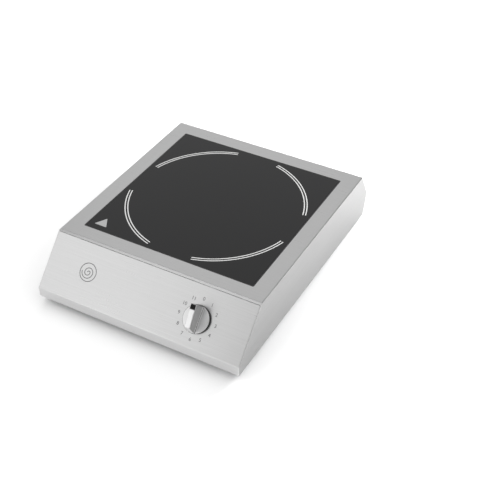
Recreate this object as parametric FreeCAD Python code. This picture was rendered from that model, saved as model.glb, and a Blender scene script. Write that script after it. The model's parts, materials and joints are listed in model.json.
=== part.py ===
import FreeCAD, Part
import math
import os

# A countertop induction hob for a restaurant kitchen: one zone, sloped front with a power knob,
# black glass-ceramic plate in a brushed stainless deck. Millimetres, +X to the right, +Y to the
# back, +Z up. The origin is the middle of the footprint, on the surface that the feet stand on.

Vec = FreeCAD.Vector

# Housing
width = 340.0
slope_run = 63.3            # the sloped front, measured along Y
deck_depth = 338.2
chamfer_run = 26.0          # the slanted face behind the deck, measured along Y
deck_height = 82.2          # top of the deck above the housing's bottom edge
lip_height = 16.4
knee_height = 36.3          # where the back changes from slanted face to back wall
back_lean = 11.8            # how far the back wall leans in at its foot
sheet = 1.2
bend_radius = 1.5
ground_radius = 1.0         # welded corners, ground round
bevel_setback = 1.95        # the small flat between the deck and the slope
fascia_gap = 0.05
seam = 0.8                  # open joint between the deck's front bend and the fascia
crease_width = 0.8          # pressed line where the deck starts to bend down
crease_depth = 0.7
flange = 12.0
foot_height = 12.6

# Glass
window = 287.4
glass_joint = 2.2           # width of the dark joint around the plate
glass_thickness = 4.0
glass_recess = 0.2
ledge_width = 17.5

# Knob and switch
dial_x = 88.0
dial_up = 40.9              # up the slope, from the lip's top edge
knob_radius = 20.5
knob_height = 27.0
bar_width = 8.4             # grip bar, at its top
bar_foot_width = 10.4
bar_flat = 9.5              # length of the level part of the bar, under the pointer
tail_height = 23.2          # the bar's far end is lower, and its end face slants
tail_reach = 14.0
skirt_rim = 4.0             # top of the skirt at its rim, above the fascia
skirt_top = 5.7             # and where it meets the bar
shaft_radius = 3.0
running_gap = 0.05

# Cable gland on the back wall
gland_x = 115.0
gland_reach = 21.0
gland_tip_radius = 9.0
gland_flats = 24.0
cable_radius = 5.5

# Coil
turn_pitch = 3.95
winding_inner = 25.0
winding_turns = 20

# Fan and heat sink
fan_size = 120.0
fan_depth = 25.0
fan_x = -85.0
fin_count = 13

# Derived places
body_depth = slope_run + deck_depth + chamfer_run
slope_rise = deck_height - lip_height
slope_length = math.hypot(slope_run, slope_rise)
lean_length = math.hypot(back_lean, knee_height)
right = Vec(1, 0, 0)
up_slope = Vec(0, slope_run / slope_length, slope_rise / slope_length)
out_slope = right.cross(up_slope)
up_back = Vec(0, back_lean / lean_length, knee_height / lean_length)
out_back = Vec(-1, 0, 0).cross(up_back)

gland_overhang = gland_reach * out_back.y + gland_tip_radius * up_back.y - back_lean / 2
lip_y = -(body_depth + gland_overhang) / 2
base_z = foot_height
deck_z = base_z + deck_height
floor_z = base_z + sheet    # upper face of the base plate

front_foot = Vec(0, lip_y, base_z)
front_bend = Vec(0, lip_y, base_z + lip_height)
front_edge = front_bend + up_slope * slope_length
rear_edge = front_edge + Vec(0, deck_depth, 0)
knee = rear_edge + Vec(0, chamfer_run, knee_height - deck_height)
rear_foot = knee + Vec(0, -back_lean, -knee_height)
bevel_low = front_edge - up_slope * bevel_setback
bevel_high = front_edge + Vec(0, bevel_setback, 0)
half_width = width / 2
zone = Vec(0, front_edge.y + deck_depth / 2, 0)
dial = Vec(dial_x, 0, 0) + front_bend + up_slope * dial_up
gland_place = Vec(gland_x, 0, 0) + (knee + rear_foot) * 0.5
glass_top = deck_z - glass_recess
glass_bottom = glass_top - glass_thickness
fan_y = zone.y - 75.0


# Shape helpers

def box(x0, x1, y0, y1, z0, z1):
    return Part.makeBox(x1 - x0, y1 - y0, z1 - z0, Vec(x0, y0, z0))


def cylinder(radius, z0, z1, x=0.0, y=0.0):
    return Part.makeCylinder(radius, z1 - z0, Vec(x, y, z0))


def tube(outer, inner, z0, z1, x=0.0, y=0.0):
    return cylinder(outer, z0, z1, x, y).cut(cylinder(inner, z0 - 1, z1 + 1, x, y))


def hexagon(flats, z0, z1, x=0.0, y=0.0):
    corner = flats / math.sqrt(3)
    points = [
        Vec(x + corner * math.cos(math.radians(60 * k)), y + corner * math.sin(math.radians(60 * k)), z0)
        for k in range(6)
    ]
    return prism(points, Vec(0, 0, z1 - z0))


def prism(points, travel):
    return Part.Face(Part.makePolygon(points + points[:1])).extrude(travel)


def across(points, x0, x1):
    """A YZ outline made solid between two places along X."""
    return prism([Vec(x0, p.y, p.z) for p in points], Vec(x1 - x0, 0, 0))


def beside(points, gap):
    """An open YZ line moved by the gap to the right of its direction of travel."""
    moved = []
    for index, point in enumerate(points):
        normals = []
        for start, end in zip(points[max(index - 1, 0):index + 1], points[max(index, 1):index + 2]):
            along = (end - start).normalize()
            normals.append(Vec(0, along.z, -along.y))
        first, last = normals[0], normals[-1]
        moved.append(point + (first + last) * (gap / (1 + first.dot(last))))
    return moved


def bent_sheet(points, thickness, x0, x1):
    return across(points + beside(points, thickness)[::-1], x0, x1)


def rounded_slab(x, y, size_x, size_y, radius, z0, z1):
    slab = box(x - size_x / 2, x + size_x / 2, y - size_y / 2, y + size_y / 2, z0, z1)
    upright = [e for e in slab.Edges if abs(e.tangentAt(e.FirstParameter).z) > 0.99]
    return slab.makeFillet(radius, upright)


def slot(x, y, length, slot_width, z0, z1):
    """A round-ended slot along X."""
    radius = slot_width / 2
    reach = length / 2 - radius
    middle = box(x - reach, x + reach, y - radius, y + radius, z0, z1)
    return middle.fuse([cylinder(radius, z0, z1, x - reach, y), cylinder(radius, z0, z1, x + reach, y)])


def join(shapes):
    return shapes[0].multiFuse(shapes[1:]).removeSplitter()


def spun(shape, count, x=0.0, y=0.0):
    """Copies of a shape turned evenly about an upright axis."""
    copies = []
    for index in range(count):
        copy = shape.copy()
        copy.rotate(Vec(x, y, 0), Vec(0, 0, 1), 360.0 * index / count)
        copies.append(copy)
    return copies


def stand(shape, origin, x_axis, y_axis):
    """Move a shape from its own XYZ to the place and the directions given."""
    z_axis = x_axis.cross(y_axis)
    matrix = FreeCAD.Matrix(
        x_axis.x, y_axis.x, z_axis.x, origin.x,
        x_axis.y, y_axis.y, z_axis.y, origin.y,
        x_axis.z, y_axis.z, z_axis.z, origin.z,
        0, 0, 0, 1,
    )
    moved = shape.copy()
    moved.Placement = FreeCAD.Placement(matrix).multiply(moved.Placement)
    return moved


def on_dial(shape):
    """From the knob's own frame, Z out of the slope, to its place."""
    return stand(shape, dial, right, up_slope)


def on_back(shape, x=gland_x):
    """From a frame on the back wall, Z out of the wall, to its place."""
    return stand(shape, Vec(x, gland_place.y, gland_place.z), Vec(-1, 0, 0), up_back)


def round_edges(shape, radius, wanted):
    """Round the edges whose middle passes the test."""
    edges = []
    for edge in shape.Edges:
        middle = edge.valueAt((edge.FirstParameter + edge.LastParameter) / 2)
        if wanted(edge, middle):
            edges.append(edge)
    return shape.makeFillet(radius, edges)


def cable(points, radius, bend):
    """A round cable: straight runs joined by tangent arcs of one radius."""
    pieces = []
    start = points[0]
    for before, corner, after in zip(points, points[1:], points[2:]):
        into = (corner - before).normalize()
        away = (after - corner).normalize()
        half_turn = into.getAngle(away) / 2
        setback = bend * math.tan(half_turn)
        arc_start = corner - into * setback
        arc_end = corner + away * setback
        inward = (away - into).normalize()
        arc_middle = corner + inward * (bend / math.cos(half_turn) - bend)
        pieces.append(Part.LineSegment(start, arc_start).toShape())
        pieces.append(Part.Arc(arc_start, arc_middle, arc_end).toShape())
        start = arc_end
    pieces.append(Part.LineSegment(start, points[-1]).toShape())
    path = Part.Wire(pieces)
    along = (points[1] - points[0]).normalize()
    section = Part.Wire([Part.makeCircle(radius, points[0], along)])
    return path.makePipeShell([section], True, True)


def screw(head_radius, head_height, shank_radius, length, x, y, z):
    """A pan head screw that stands head down, its seat at z."""
    head = cylinder(head_radius, z - head_height, z, x, y)
    head = round_edges(head, head_height * 0.4, lambda e, m: m.z < z - head_height + 0.01)
    cross = box(x - head_radius * 0.55, x + head_radius * 0.55, y - 0.5, y + 0.5, z - head_height, z - 1.0)
    other = cross.copy()
    other.rotate(Vec(x, y, 0), Vec(0, 0, 1), 90)
    return head.cut([cross, other]).fuse(cylinder(shank_radius, z - 0.01, z + length, x, y))


# Housing

def base_screw_places():
    side_x = half_width - sheet - flange / 2
    front = [Vec(x, lip_y + 9, 0) for x in (-110, 110)]
    rear = [Vec(x, rear_foot.y - 8, 0) for x in (-110, 40)]
    side_steps = (0.16, 0.5, 0.86)
    sides = [
        Vec(side * side_x, lip_y + body_depth * step, 0) for side in (-1, 1) for step in side_steps
    ]
    return front + rear + sides


def foot_places():
    return {
        "front_left_foot": Vec(-132, lip_y + 45, 0),
        "front_right_foot": Vec(132, lip_y + 45, 0),
        "rear_left_foot": Vec(-132, rear_foot.y - 46, 0),
        "rear_right_foot": Vec(132, rear_foot.y - 46, 0),
    }


def air_outlets():
    """Upright slots through the back wall, clear of the gland."""
    one = slot(0, 0, 20, 4.5, -5, 5)
    one.rotate(Vec(0, 0, 0), Vec(0, 0, 1), 90)
    return [on_back(one, x) for x in range(-150, 71, 10)]


def housing_shell():
    over = [bevel_low, bevel_high, rear_edge, knee, rear_foot]
    block = across([front_foot, front_bend] + over, -half_width, half_width)

    def outside_edge(edge, middle):
        on_side = abs(abs(middle.x) - half_width) < 0.01 and middle.y > bevel_high.y - 0.5
        low = middle.z < base_z + 0.01
        bend = any(math.hypot(middle.y - p.y, middle.z - p.z) < 0.01 for p in (rear_edge, knee))
        return (on_side and not low) or bend

    block = round_edges(block, bend_radius, outside_edge)
    below = [front_foot - Vec(0, 0, 5), front_bend] + over[:-1] + [rear_foot - up_back * 5]
    hollow = across(beside(below, sheet), sheet - half_width, half_width - sheet)
    fascia_line = [below[0], front_bend, bevel_low]
    fascia_room = bent_sheet(fascia_line, sheet + fascia_gap, -half_width - 1, half_width + 1)
    shell = block.cut([hollow, fascia_room])
    flange_z = floor_z + sheet
    side_start = lip_y + 18
    inner = half_width - sheet - flange
    flanges = [
        box(-half_width + 1, half_width - 1, rear_foot.y - 13, rear_foot.y, floor_z, flange_z),
        box(-half_width + 1, -inner, side_start, rear_foot.y - 5, floor_z, flange_z),
        box(inner, half_width - 1, side_start, rear_foot.y - 5, floor_z, flange_z),
    ]
    shell = join([shell] + flanges)
    opening = rounded_slab(0, zone.y, window, window, 2.0, deck_z - 10, deck_z + 5)
    gland_hole = on_back(cylinder(10.1, -5, 5))
    crease_end = bevel_high.y + crease_width
    crease = box(-width, width, bevel_high.y, crease_end, deck_z - crease_depth, deck_z + 1)
    holes = [cylinder(2.05, base_z, flange_z + 1, p.x, p.y) for p in base_screw_places()]
    return shell.cut([opening, crease, gland_hole] + air_outlets() + holes)


def front_panel():
    top = bevel_low - up_slope * seam
    upright = [front_foot, front_bend, top]
    folded = [front_foot + Vec(0, 14, 0)] + upright + [top - out_slope * 8]
    inside = half_width - sheet - 0.3
    face = bent_sheet(upright, sheet, -half_width, half_width)
    returns = [bent_sheet(folded, sheet, -inside, inside)]
    inner_line = beside(upright, sheet - 0.1)
    deep_line = beside(upright, 10.0)
    for side in (-1, 1):
        returns.append(across(inner_line + deep_line[::-1], side * inside, side * (inside - sheet)))
    panel = join([face] + returns)

    def along_line(point):
        return lambda e, m: math.hypot(m.y - point.y, m.z - point.z) < 0.01

    def outer_end(edge, middle):
        outwards = max((middle - front_bend).dot(out_slope), lip_y - middle.y)
        return abs(abs(middle.x) - half_width) < 0.01 and outwards > -0.5 and middle.z > base_z + 0.5

    panel = round_edges(panel, bend_radius, along_line(front_bend))
    panel = round_edges(panel, ground_radius, along_line(front_foot))
    panel = round_edges(panel, ground_radius, outer_end)
    holes = [cylinder(2.15, base_z - 1, base_z + 5, p.x, p.y) for p in base_screw_places()[:2]]
    return panel.cut([on_dial(cylinder(5.1, -4, 4))] + holes)


def intake_slots():
    """Rows of slots inside the circle that the fan draws from."""
    cuts = []
    for row in range(-5, 6):
        for column in (-1, 0, 1):
            x_off = column * 35.0
            y_off = row * 9.0
            if math.hypot(abs(x_off) + 12, y_off) < fan_size / 2 - 4:
                cuts.append(slot(fan_x + x_off, fan_y + y_off, 29, 4.5, base_z - 1, floor_z + 1))
    return cuts


def base_plate():
    plate = box(-168.4, 168.4, lip_y + 14.5, rear_foot.y - 2, base_z, floor_z)
    ledge = box(-165, 165, lip_y + 3, lip_y + 17, floor_z, floor_z + sheet)
    cuts = intake_slots()
    cuts += [slot(x, rear_foot.y - 24, 29, 4.5, base_z - 1, floor_z + 1) for x in range(-90, 91, 36)]
    cuts += [cylinder(2.15, base_z - 1, base_z + 5, p.x, p.y) for p in base_screw_places()]
    cuts += [cylinder(2.6, base_z - 1, floor_z + 1, p.x, p.y) for p in foot_places().values()]
    cuts += [cylinder(2.1, base_z - 1, floor_z + 1, p.x, p.y) for p in fan_screw_places()]
    return join([plate, ledge]).cut(cuts)


def base_screws():
    """Front screws sit under the fascia's return, the others under the base plate."""
    return [screw(3.8, 2.4, 1.95, 5.0, p.x, p.y, base_z) for p in base_screw_places()]


def rubber_foot(place):
    foot = Part.makeCone(12.5, 15.0, foot_height, Vec(place.x, place.y, 0))
    foot = round_edges(foot, 1.5, lambda e, m: m.z < 0.01 and e.Length > 60)
    pocket = cylinder(6.0, -1, 8, place.x, place.y)
    return foot.cut([pocket, cylinder(2.6, -1, foot_height + 1, place.x, place.y)])


def foot_screws():
    return [screw(4.6, 3.2, 2.5, 13.5, p.x, p.y, 8.0) for p in foot_places().values()]


def foot_nuts():
    nuts = []
    for p in foot_places().values():
        nuts.append(hexagon(8.0, floor_z, floor_z + 4, p.x, p.y).cut(cylinder(2.55, 0, 40, p.x, p.y)))
    return nuts


# Glass

def square_ring(outer, inner, z0, z1, radius=2.0):
    ring = rounded_slab(0, zone.y, outer, outer, radius, z0, z1)
    return ring.cut(rounded_slab(0, zone.y, inner, inner, radius, z0 - 1, z1 + 1))


def glass_support_frame():
    web_outer = window + 2 * sheet + 1.2
    deck_under = deck_z - sheet
    top = square_ring(web_outer + 22, window + 1.2, deck_under - sheet, deck_under)
    web = square_ring(web_outer, window + 1.2, glass_bottom - sheet, deck_under)
    ledge = square_ring(web_outer, web_outer - 2 * ledge_width, glass_bottom - sheet, glass_bottom)
    return join([top, web, ledge])


def glass_plate():
    size = window - 2 * glass_joint
    plate = rounded_slab(0, zone.y, size, size, 2.0, glass_bottom, glass_top)
    return round_edges(plate, 0.5, lambda e, m: m.z > glass_top - 0.01)


def glass_seal():
    return square_ring(window, window - 2 * glass_joint, glass_bottom, glass_top - 0.1)


# Coil

winding_top = glass_bottom - 1.6
carrier_top = winding_top - turn_pitch
winding_outer = winding_inner + winding_turns * turn_pitch
shield_top = glass_bottom - 14.6
shield_bottom = shield_top - 1.5
ferrite_top = carrier_top - 2.0
inner_lead = zone + Vec(9.2, 25.4, 0)
outer_lead = zone + Vec(30.0, 97.5, 0)


def coil_winding():
    """Turns side by side, each a round strand bundle, joined along their widest line."""
    rings = []
    strand = turn_pitch / 2
    for turn in range(winding_turns):
        radius = winding_inner + strand + turn * turn_pitch
        rings.append(Part.makeTorus(radius, strand, Vec(zone.x, zone.y, winding_top - strand)))
    web = tube(winding_outer - strand, winding_inner + strand, winding_top - strand - 0.8,
               winding_top - strand + 0.8, zone.x, zone.y)
    return join([web] + rings)


def coil_carrier():
    x, y = zone.x, zone.y
    plate = cylinder(winding_outer + 4, ferrite_top, carrier_top, x, y)
    rim = tube(winding_outer + 4, winding_outer + 1, ferrite_top, winding_top, x, y)
    core = tube(winding_inner - 1, winding_inner - 3.5, ferrite_top, winding_top, x, y)
    boss = cylinder(4.0, shield_top, ferrite_top, x + winding_outer - 6, y)
    boss.rotate(zone, Vec(0, 0, 1), 22.5)
    rails = []
    for rail_y in (y - 9, y + 9):
        for end in (x + 30, x + 100):
            rails.append(box(end - 2, end, rail_y - 1, rail_y + 1, ferrite_top - 5, ferrite_top))
    ribs = [rib for rail in rails for rib in spun(rail, 8, x, y)]
    body = join([plate, rim, core] + spun(boss, 4, x, y) + ribs)
    holes = [cylinder(winding_inner - 3.5, ferrite_top - 1, winding_top + 1, x, y)]
    holes += [cylinder(3.0, ferrite_top - 1, carrier_top + 1, p.x, p.y) for p in (inner_lead, outer_lead)]
    return body.cut(holes)


def ferrite_bars():
    bar = box(zone.x + 33, zone.x + 97, zone.y - 7.5, zone.y + 7.5, ferrite_top - 5, ferrite_top)
    return spun(bar, 8, zone.x, zone.y)


def insulation_sheet():
    return tube(winding_outer + 4, 9.0, winding_top + 0.2, glass_bottom - 0.2, zone.x, zone.y)


def post_places():
    reach = window / 2 - 7
    return [Vec(sx * reach, zone.y + sy * reach, 0) for sx in (-1, 1) for sy in (-1, 1)]


def coil_shield_plate():
    size = window - 6
    plate = rounded_slab(0, zone.y, size, size, 6.0, shield_bottom, shield_top)
    cuts = [cylinder(14.0, shield_bottom - 1, shield_top + 1, zone.x, zone.y)]
    cuts += [cylinder(5.0, shield_bottom - 1, shield_top + 1, p.x, p.y) for p in (inner_lead, outer_lead)]
    cuts += [cylinder(1.7, shield_bottom - 1, shield_top + 1, p.x, p.y) for p in post_places()]
    return plate.cut(cuts)


def coil_posts():
    top = glass_bottom - sheet
    return [hexagon(6.0, shield_top, top, p.x, p.y).cut(cylinder(1.6, 0, shield_top + 8, p.x, p.y))
            for p in post_places()]


def coil_post_screws():
    return [screw(3.0, 2.0, 1.5, 7.0, p.x, p.y, shield_bottom) for p in post_places()]


def temperature_sensor():
    x, y = zone.x, zone.y
    button = cylinder(7.0, ferrite_top + 1, glass_bottom - 0.1, x, y)
    seat = cylinder(12.0, ferrite_top - 3, ferrite_top + 1, x, y)
    return join([button, seat])


# Power electronics

board_thickness = 1.6
standoff_height = 8.8
board_z = floor_z + standoff_height
board_top = board_z + board_thickness
power_board_box = (-150.0, 70.0, 2.0, 152.0)
filter_board_box = (80.0, 156.0, -85.0, 15.0)
control_board_box = (-116.0, -20.0, lip_y + 38.0, lip_y + 82.0)
sink_base_z = board_top + 5.0
sink_top = sink_base_z + 33.0
terminal_y = 122.0
inner_terminal = Vec(5.0, terminal_y, 0)
outer_terminal = Vec(30.0, terminal_y, 0)


def board_corners(outline, inset=6.0):
    x0, x1, y0, y1 = outline
    return [Vec(x, y, 0) for x in (x0 + inset, x1 - inset) for y in (y0 + inset, y1 - inset)]


def board(outline):
    x0, x1, y0, y1 = outline
    plate = box(x0, x1, y0, y1, board_z, board_top)
    return plate.cut([cylinder(1.7, board_z - 1, board_top + 1, p.x, p.y) for p in board_corners(outline)])


def all_board_corners():
    boards = (power_board_box, filter_board_box, control_board_box)
    return [corner for outline in boards for corner in board_corners(outline)]


def board_standoffs():
    return [hexagon(6.0, floor_z, board_z, p.x, p.y).cut(cylinder(1.6, floor_z + 2, board_z + 1, p.x, p.y))
            for p in all_board_corners()]


def board_screws():
    screws = []
    for p in all_board_corners():
        one = screw(3.0, 2.0, 1.5, 6.0, 0, 0, 0)
        one.rotate(Vec(0, 0, 0), Vec(1, 0, 0), 180)
        one.translate(Vec(p.x, p.y, board_top))
        screws.append(one)
    return screws


def heat_sink():
    x0, x1, y0, y1 = -142.0, -38.0, 10.0, 130.0
    base = box(x0, x1, y0, y1, sink_base_z, sink_base_z + 5)
    fin = 1.6
    pitch = (x1 - x0 - fin) / (fin_count - 1)
    fins = []
    for index in range(fin_count):
        x = x0 + index * pitch
        fins.append(box(x, x + fin, y0, y1, sink_base_z + 4, sink_top))
    corners = [(x, y) for x in (x0, x1 - 6) for y in (y0 + 8, y1 - 6)]
    legs = [box(x, x + 6, y, y + 6, board_top, sink_base_z + 1) for x, y in corners]
    return join([base] + fins + legs)


def power_transistors():
    """Two flat packages whose legs bend down into the board."""
    packages = []
    for x in (-120.0, -85.0):
        case = box(x, x + 16, 50, 71, board_top + 0.1, sink_base_z)
        starts = [x + 2.3 + i * 5.2 for i in range(3)]
        legs = [box(start, start + 1.2, 40, 50.1, board_top, board_top + 1.0) for start in starts]
        packages.append(join([case] + legs))
    return packages


def bridge_rectifier():
    case = box(-85, -55, 92, 112, board_top + 0.1, sink_base_z)
    legs = [box(-82 + i * 7.6, -81 + i * 7.6, 84, 92.1, board_top, board_top + 1.0) for i in range(4)]
    return join([case] + legs)


def film_capacitor(x, y, size_x, size_y, height):
    """A boxed capacitor on the board, its middle at x, y."""
    case = rounded_slab(x, y, size_x, size_y, 1.2, board_top, board_top + height)
    return round_edges(case, 0.8, lambda e, m: m.z > board_top + height - 0.01)


line_choke = (48.0, 34.0, 18.0, 10.0, 14.0)
filter_choke = (112.0, -54.0, 16.0, 9.0, 12.0)


def toroid_core(x, y, outer, inner, height):
    core = tube(outer, inner, board_top + 2, board_top + 2 + height, x, y)
    return round_edges(core, 1.0, lambda e, m: e.Length > 3 * inner)


def toroid_winding(x, y, outer, inner, height, turns):
    """Loops of wire round the core's section, each its own closed ring."""
    wire = 1.5
    z0, z1 = board_top + 2, board_top + 2 + height
    hole = box(x + inner - 0.15, x + outer + 0.15, y - 2, y + 2, z0 - 0.15, z1 + 0.15)
    loop = box(x + inner - wire, x + outer + wire, y - wire / 2, y + wire / 2, z0 - wire, z1 + wire)
    ring = loop.cut(hole)
    return spun(ring, turns, x, y)


def auxiliary_transformer():
    x, y = 48.0, 98.0
    core = box(x - 16, x + 16, y - 9, y + 9, board_top + 3, board_top + 28)
    coil = rounded_slab(x, y, 20, 27, 3.0, board_top + 6, board_top + 25)
    foot = box(x - 14, x + 14, y - 13, y + 13, board_top, board_top + 4)
    return join([core, coil, foot])


def coil_terminals():
    terminals = []
    for p in (inner_terminal, outer_terminal):
        post = cylinder(4.0, board_top, board_top + 8, p.x, p.y)
        terminals.append(join([post, hexagon(8.0, board_top, board_top + 3, p.x, p.y)]))
    return terminals


def coil_leads():
    terminal_top = board_top + 8
    low = carrier_top - 0.1
    inner = [
        Vec(inner_lead.x, inner_lead.y, low),
        Vec(inner_lead.x, inner_lead.y, shield_bottom - 7),
        Vec(inner_terminal.x, inner_terminal.y, shield_bottom - 9),
        Vec(inner_terminal.x, inner_terminal.y, terminal_top),
    ]
    outer = [
        Vec(outer_lead.x, outer_lead.y, low),
        Vec(outer_lead.x, outer_lead.y, shield_bottom - 8),
        Vec(outer_terminal.x, outer_terminal.y, shield_bottom - 22),
        Vec(outer_terminal.x, outer_terminal.y, terminal_top),
    ]
    return [cable(inner, 2.4, 5.0), cable(outer, 2.4, 5.0)]


def fuse_holder():
    x, y = 112.0, -12.0
    bed = box(x - 14, x + 14, y - 5, y + 5, board_top, board_top + 3)
    ends = [box(x + s - 2.5, x + s + 2.5, y - 4, y + 4, board_top + 2.5, board_top + 11) for s in (-11, 11)]
    seat = Part.makeCylinder(2.6, 32, Vec(x - 16, y, board_top + 8), Vec(1, 0, 0))
    return join([bed] + ends).cut(seat)


def fuse():
    return Part.makeCylinder(2.55, 27, Vec(112.0 - 13.5, -12.0, board_top + 8), Vec(1, 0, 0))


terminal_block_y = 155.0


def terminal_block():
    body = box(96, 144, terminal_block_y, terminal_block_y + 24, floor_z, floor_z + 20)
    cuts = []
    for pole in range(3):
        x = 104.0 + pole * 16
        cuts.append(cylinder(3.2, floor_z + 8, floor_z + 21, x, terminal_block_y + 7))
        cuts.append(cylinder(3.2, floor_z + 8, floor_z + 21, x, terminal_block_y + 17))
        cuts.append(Part.makeCylinder(2.6, 6, Vec(x, terminal_block_y + 19, floor_z + 10), Vec(0, 1, 0)))
    return body.cut(cuts)


def terminal_screws():
    screws = []
    for pole in range(3):
        for y in (terminal_block_y + 7, terminal_block_y + 17):
            head = cylinder(3.0, floor_z + 14, floor_z + 17, 104.0 + pole * 16, y)
            screws.append(head.cut(box(96, 150, y - 0.4, y + 0.4, floor_z + 16, floor_z + 18)))
    return screws


def supply_wires():
    """Three conductors from the terminal block to the filter board's connector."""
    wires = []
    for pole in range(3):
        x = 104.0 + pole * 16
        high, low = floor_z + 14, floor_z + 8
        route = [
            Vec(x, terminal_block_y, high), Vec(x, terminal_block_y - 24, high), Vec(x, 90, low),
            Vec(x, 56, low), Vec(x, 36, board_top + 5), Vec(x, 12, board_top + 5),
        ]
        wires.append(cable(route, 1.7, 12.0))
    return wires


def filter_wires():
    wires = []
    for level in (4.0, 9.0):
        z = board_top + level
        route = [Vec(90, 0, z), Vec(90, 66, z), Vec(68, 66, z)]
        wires.append(cable(route, 1.7, 10.0))
    return wires


def board_connectors():
    """Plug housings at the board edges where cables arrive."""
    power = (54, 68, 60, 72, 12)
    sensor = (-8, 8, 5, 17, 8)
    incoming = (99, 141, 4, 12, 9)
    outgoing = (86, 94, -10, 0, 13)
    control_in = (-30, -24, control_board_box[2] + 12, control_board_box[2] + 24, 9)
    panel_in = (-42, -34, control_board_box[2] + 12, control_board_box[2] + 24, 9)
    shapes = []
    for x0, x1, y0, y1, height in (power, sensor, incoming, outgoing, control_in, panel_in):
        shapes.append(box(x0, x1, y0, y1, board_top, board_top + height))
    return shapes


def earth_stud():
    x, y = 150.0, 120.0
    stud = cylinder(2.5, floor_z, floor_z + 14, x, y)
    nut = hexagon(8.0, floor_z + 1, floor_z + 5, x, y)
    washer = cylinder(5.5, floor_z, floor_z + 1.1, x, y)
    return join([stud, nut, washer])


# Control

def control_chip():
    x0, _, y0, _ = control_board_box
    return box(x0 + 30, x0 + 42, y0 + 15, y0 + 27, board_top, board_top + 1.6)


def buzzer():
    x0, _, y0, _ = control_board_box
    can = cylinder(7.0, board_top, board_top + 9, x0 + 62, y0 + 21)
    return can.cut(cylinder(1.2, board_top + 6, board_top + 10, x0 + 62, y0 + 21))


def control_cable():
    z = board_top + 5
    y = control_board_box[2] + 18
    route = [Vec(-24, y, z), Vec(0, y, z), Vec(0, 5, z)]
    return cable(route, 2.2, 18.0)


def sensor_cable():
    top = ferrite_top - 3
    route = [
        Vec(0, zone.y, top), Vec(0, zone.y, shield_bottom - 8), Vec(4, zone.y - 1, shield_bottom - 20),
        Vec(4, zone.y - 1, board_top + 8),
    ]
    return cable(route, 1.2, 8.0)


def switch_body():
    """Round rotary switch behind the fascia, in the knob's own frame, made in place."""
    can = cylinder(14.0, -14.2, -sheet)
    tags = [box(x - 1, x + 1, -19, -10, -13.0, -12.0) for x in (-6, 0, 6)]
    body = join([can] + tags)
    return on_dial(body.cut(cylinder(shaft_radius + 0.1, -10.3, 0)))


def switch_bush():
    return on_dial(tube(5.0, shaft_radius + running_gap, -sheet, 3.0))


def switch_nut():
    return on_dial(hexagon(13.0, 0, 2.4).cut(cylinder(5.05, -1, 4)))


def switch_shaft():
    shaft = cylinder(shaft_radius, -10.0, 16.0)
    flat = box(2.0, 4.0, -4, 4, 7.0, 17.0)
    return on_dial(shaft.cut(flat))


def knob_clip():
    clip = tube(4.15, shaft_radius + 0.03, 5.0, 14.0)
    return on_dial(clip.cut(box(1.5, 6, -2.2, 2.2, 4, 15)))


def power_knob():
    """Round, slightly conical skirt with a grip bar across it that falls towards its tail."""
    foot, top = bar_foot_width / 2, bar_width / 2
    rim = cylinder(knob_radius, 0.6, skirt_rim)
    skirt = join([rim, Part.makeCone(knob_radius, foot, skirt_top - skirt_rim, Vec(0, 0, skirt_rim))])
    bar_sides = ((-foot, skirt_rim - 1), (foot, skirt_rim - 1), (top, knob_height), (-top, knob_height))
    outline = [Vec(x, -knob_radius, z) for x, z in bar_sides]
    bar = prism(outline, Vec(0, 2 * knob_radius, 0))
    side_view = (
        (-knob_radius + 0.3, skirt_rim - 1), (-tail_reach, tail_height), (knob_radius - bar_flat, knob_height),
        (knob_radius, knob_height), (knob_radius, skirt_rim - 1),
    )
    bar = bar.common(across([Vec(0, y, z) for y, z in side_view], -bar_foot_width, bar_foot_width))
    bar = bar.common(cylinder(knob_radius - 0.3, 0, knob_height + 1))
    knob = join([skirt, bar])
    knob = round_edges(knob, 0.7, lambda e, m: m.z > tail_height - 0.01)
    knob = round_edges(knob, 0.25, lambda e, m: abs(m.z - skirt_rim) < 0.01 and abs(m.x) > bar_foot_width)
    below_groove = skirt.translated(Vec(0, 0, -0.5))
    groove = 0.7
    for x in (-foot - 0.2 - groove, foot + 0.2):
        knob = knob.cut(box(x, x + groove, -30, 30, 0.7, skirt_top + 1).cut(below_groove))
    cavity = cylinder(knob_radius - 2.2, 0, 2.6).fuse(cylinder(9.0, 0, 3.6))
    bore = cylinder(4.2, 0, 16.5)
    pocket = box(-3.9, 3.9, 12.0, 19.5, knob_height - 0.8, knob_height + 1)
    return on_dial(knob.cut([cavity, bore, pocket]))


def knob_pointer():
    return on_dial(box(-3.85, 3.85, 12.05, 19.45, knob_height - 0.8, knob_height))


# Fan and duct

def fan_screw_places():
    reach = fan_size / 2 - 7.5
    return [Vec(fan_x + sx * reach, fan_y + sy * reach, 0) for sx in (-1, 1) for sy in (-1, 1)]


def fan_frame():
    z0, z1 = floor_z, floor_z + fan_depth
    block = rounded_slab(fan_x, fan_y, fan_size, fan_size, 4.0, z0, z1)
    waist = box(fan_x - 61, fan_x + 61, fan_y - 61, fan_y + 61, z0 + 4, z1 - 4)
    block = block.cut(waist.cut(cylinder(59.5, z0, z1, fan_x, fan_y)))
    block = block.cut(cylinder(57.0, z0 - 1, z1 + 1, fan_x, fan_y))
    hub = cylinder(22.0, z0, z0 + 3, fan_x, fan_y)
    strut = box(fan_x + 20, fan_x + 58.5, fan_y - 2, fan_y + 2, z0, z0 + 3)
    strut.rotate(Vec(fan_x, fan_y, 0), Vec(0, 0, 1), 30)
    frame = join([block, hub] + spun(strut, 4, fan_x, fan_y))
    return frame.cut([cylinder(2.0, z0 - 1, z1 + 1, p.x, p.y) for p in fan_screw_places()])


def fan_screws():
    return [screw(3.6, 2.2, 1.9, 18.0, p.x, p.y, base_z) for p in fan_screw_places()]


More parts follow.
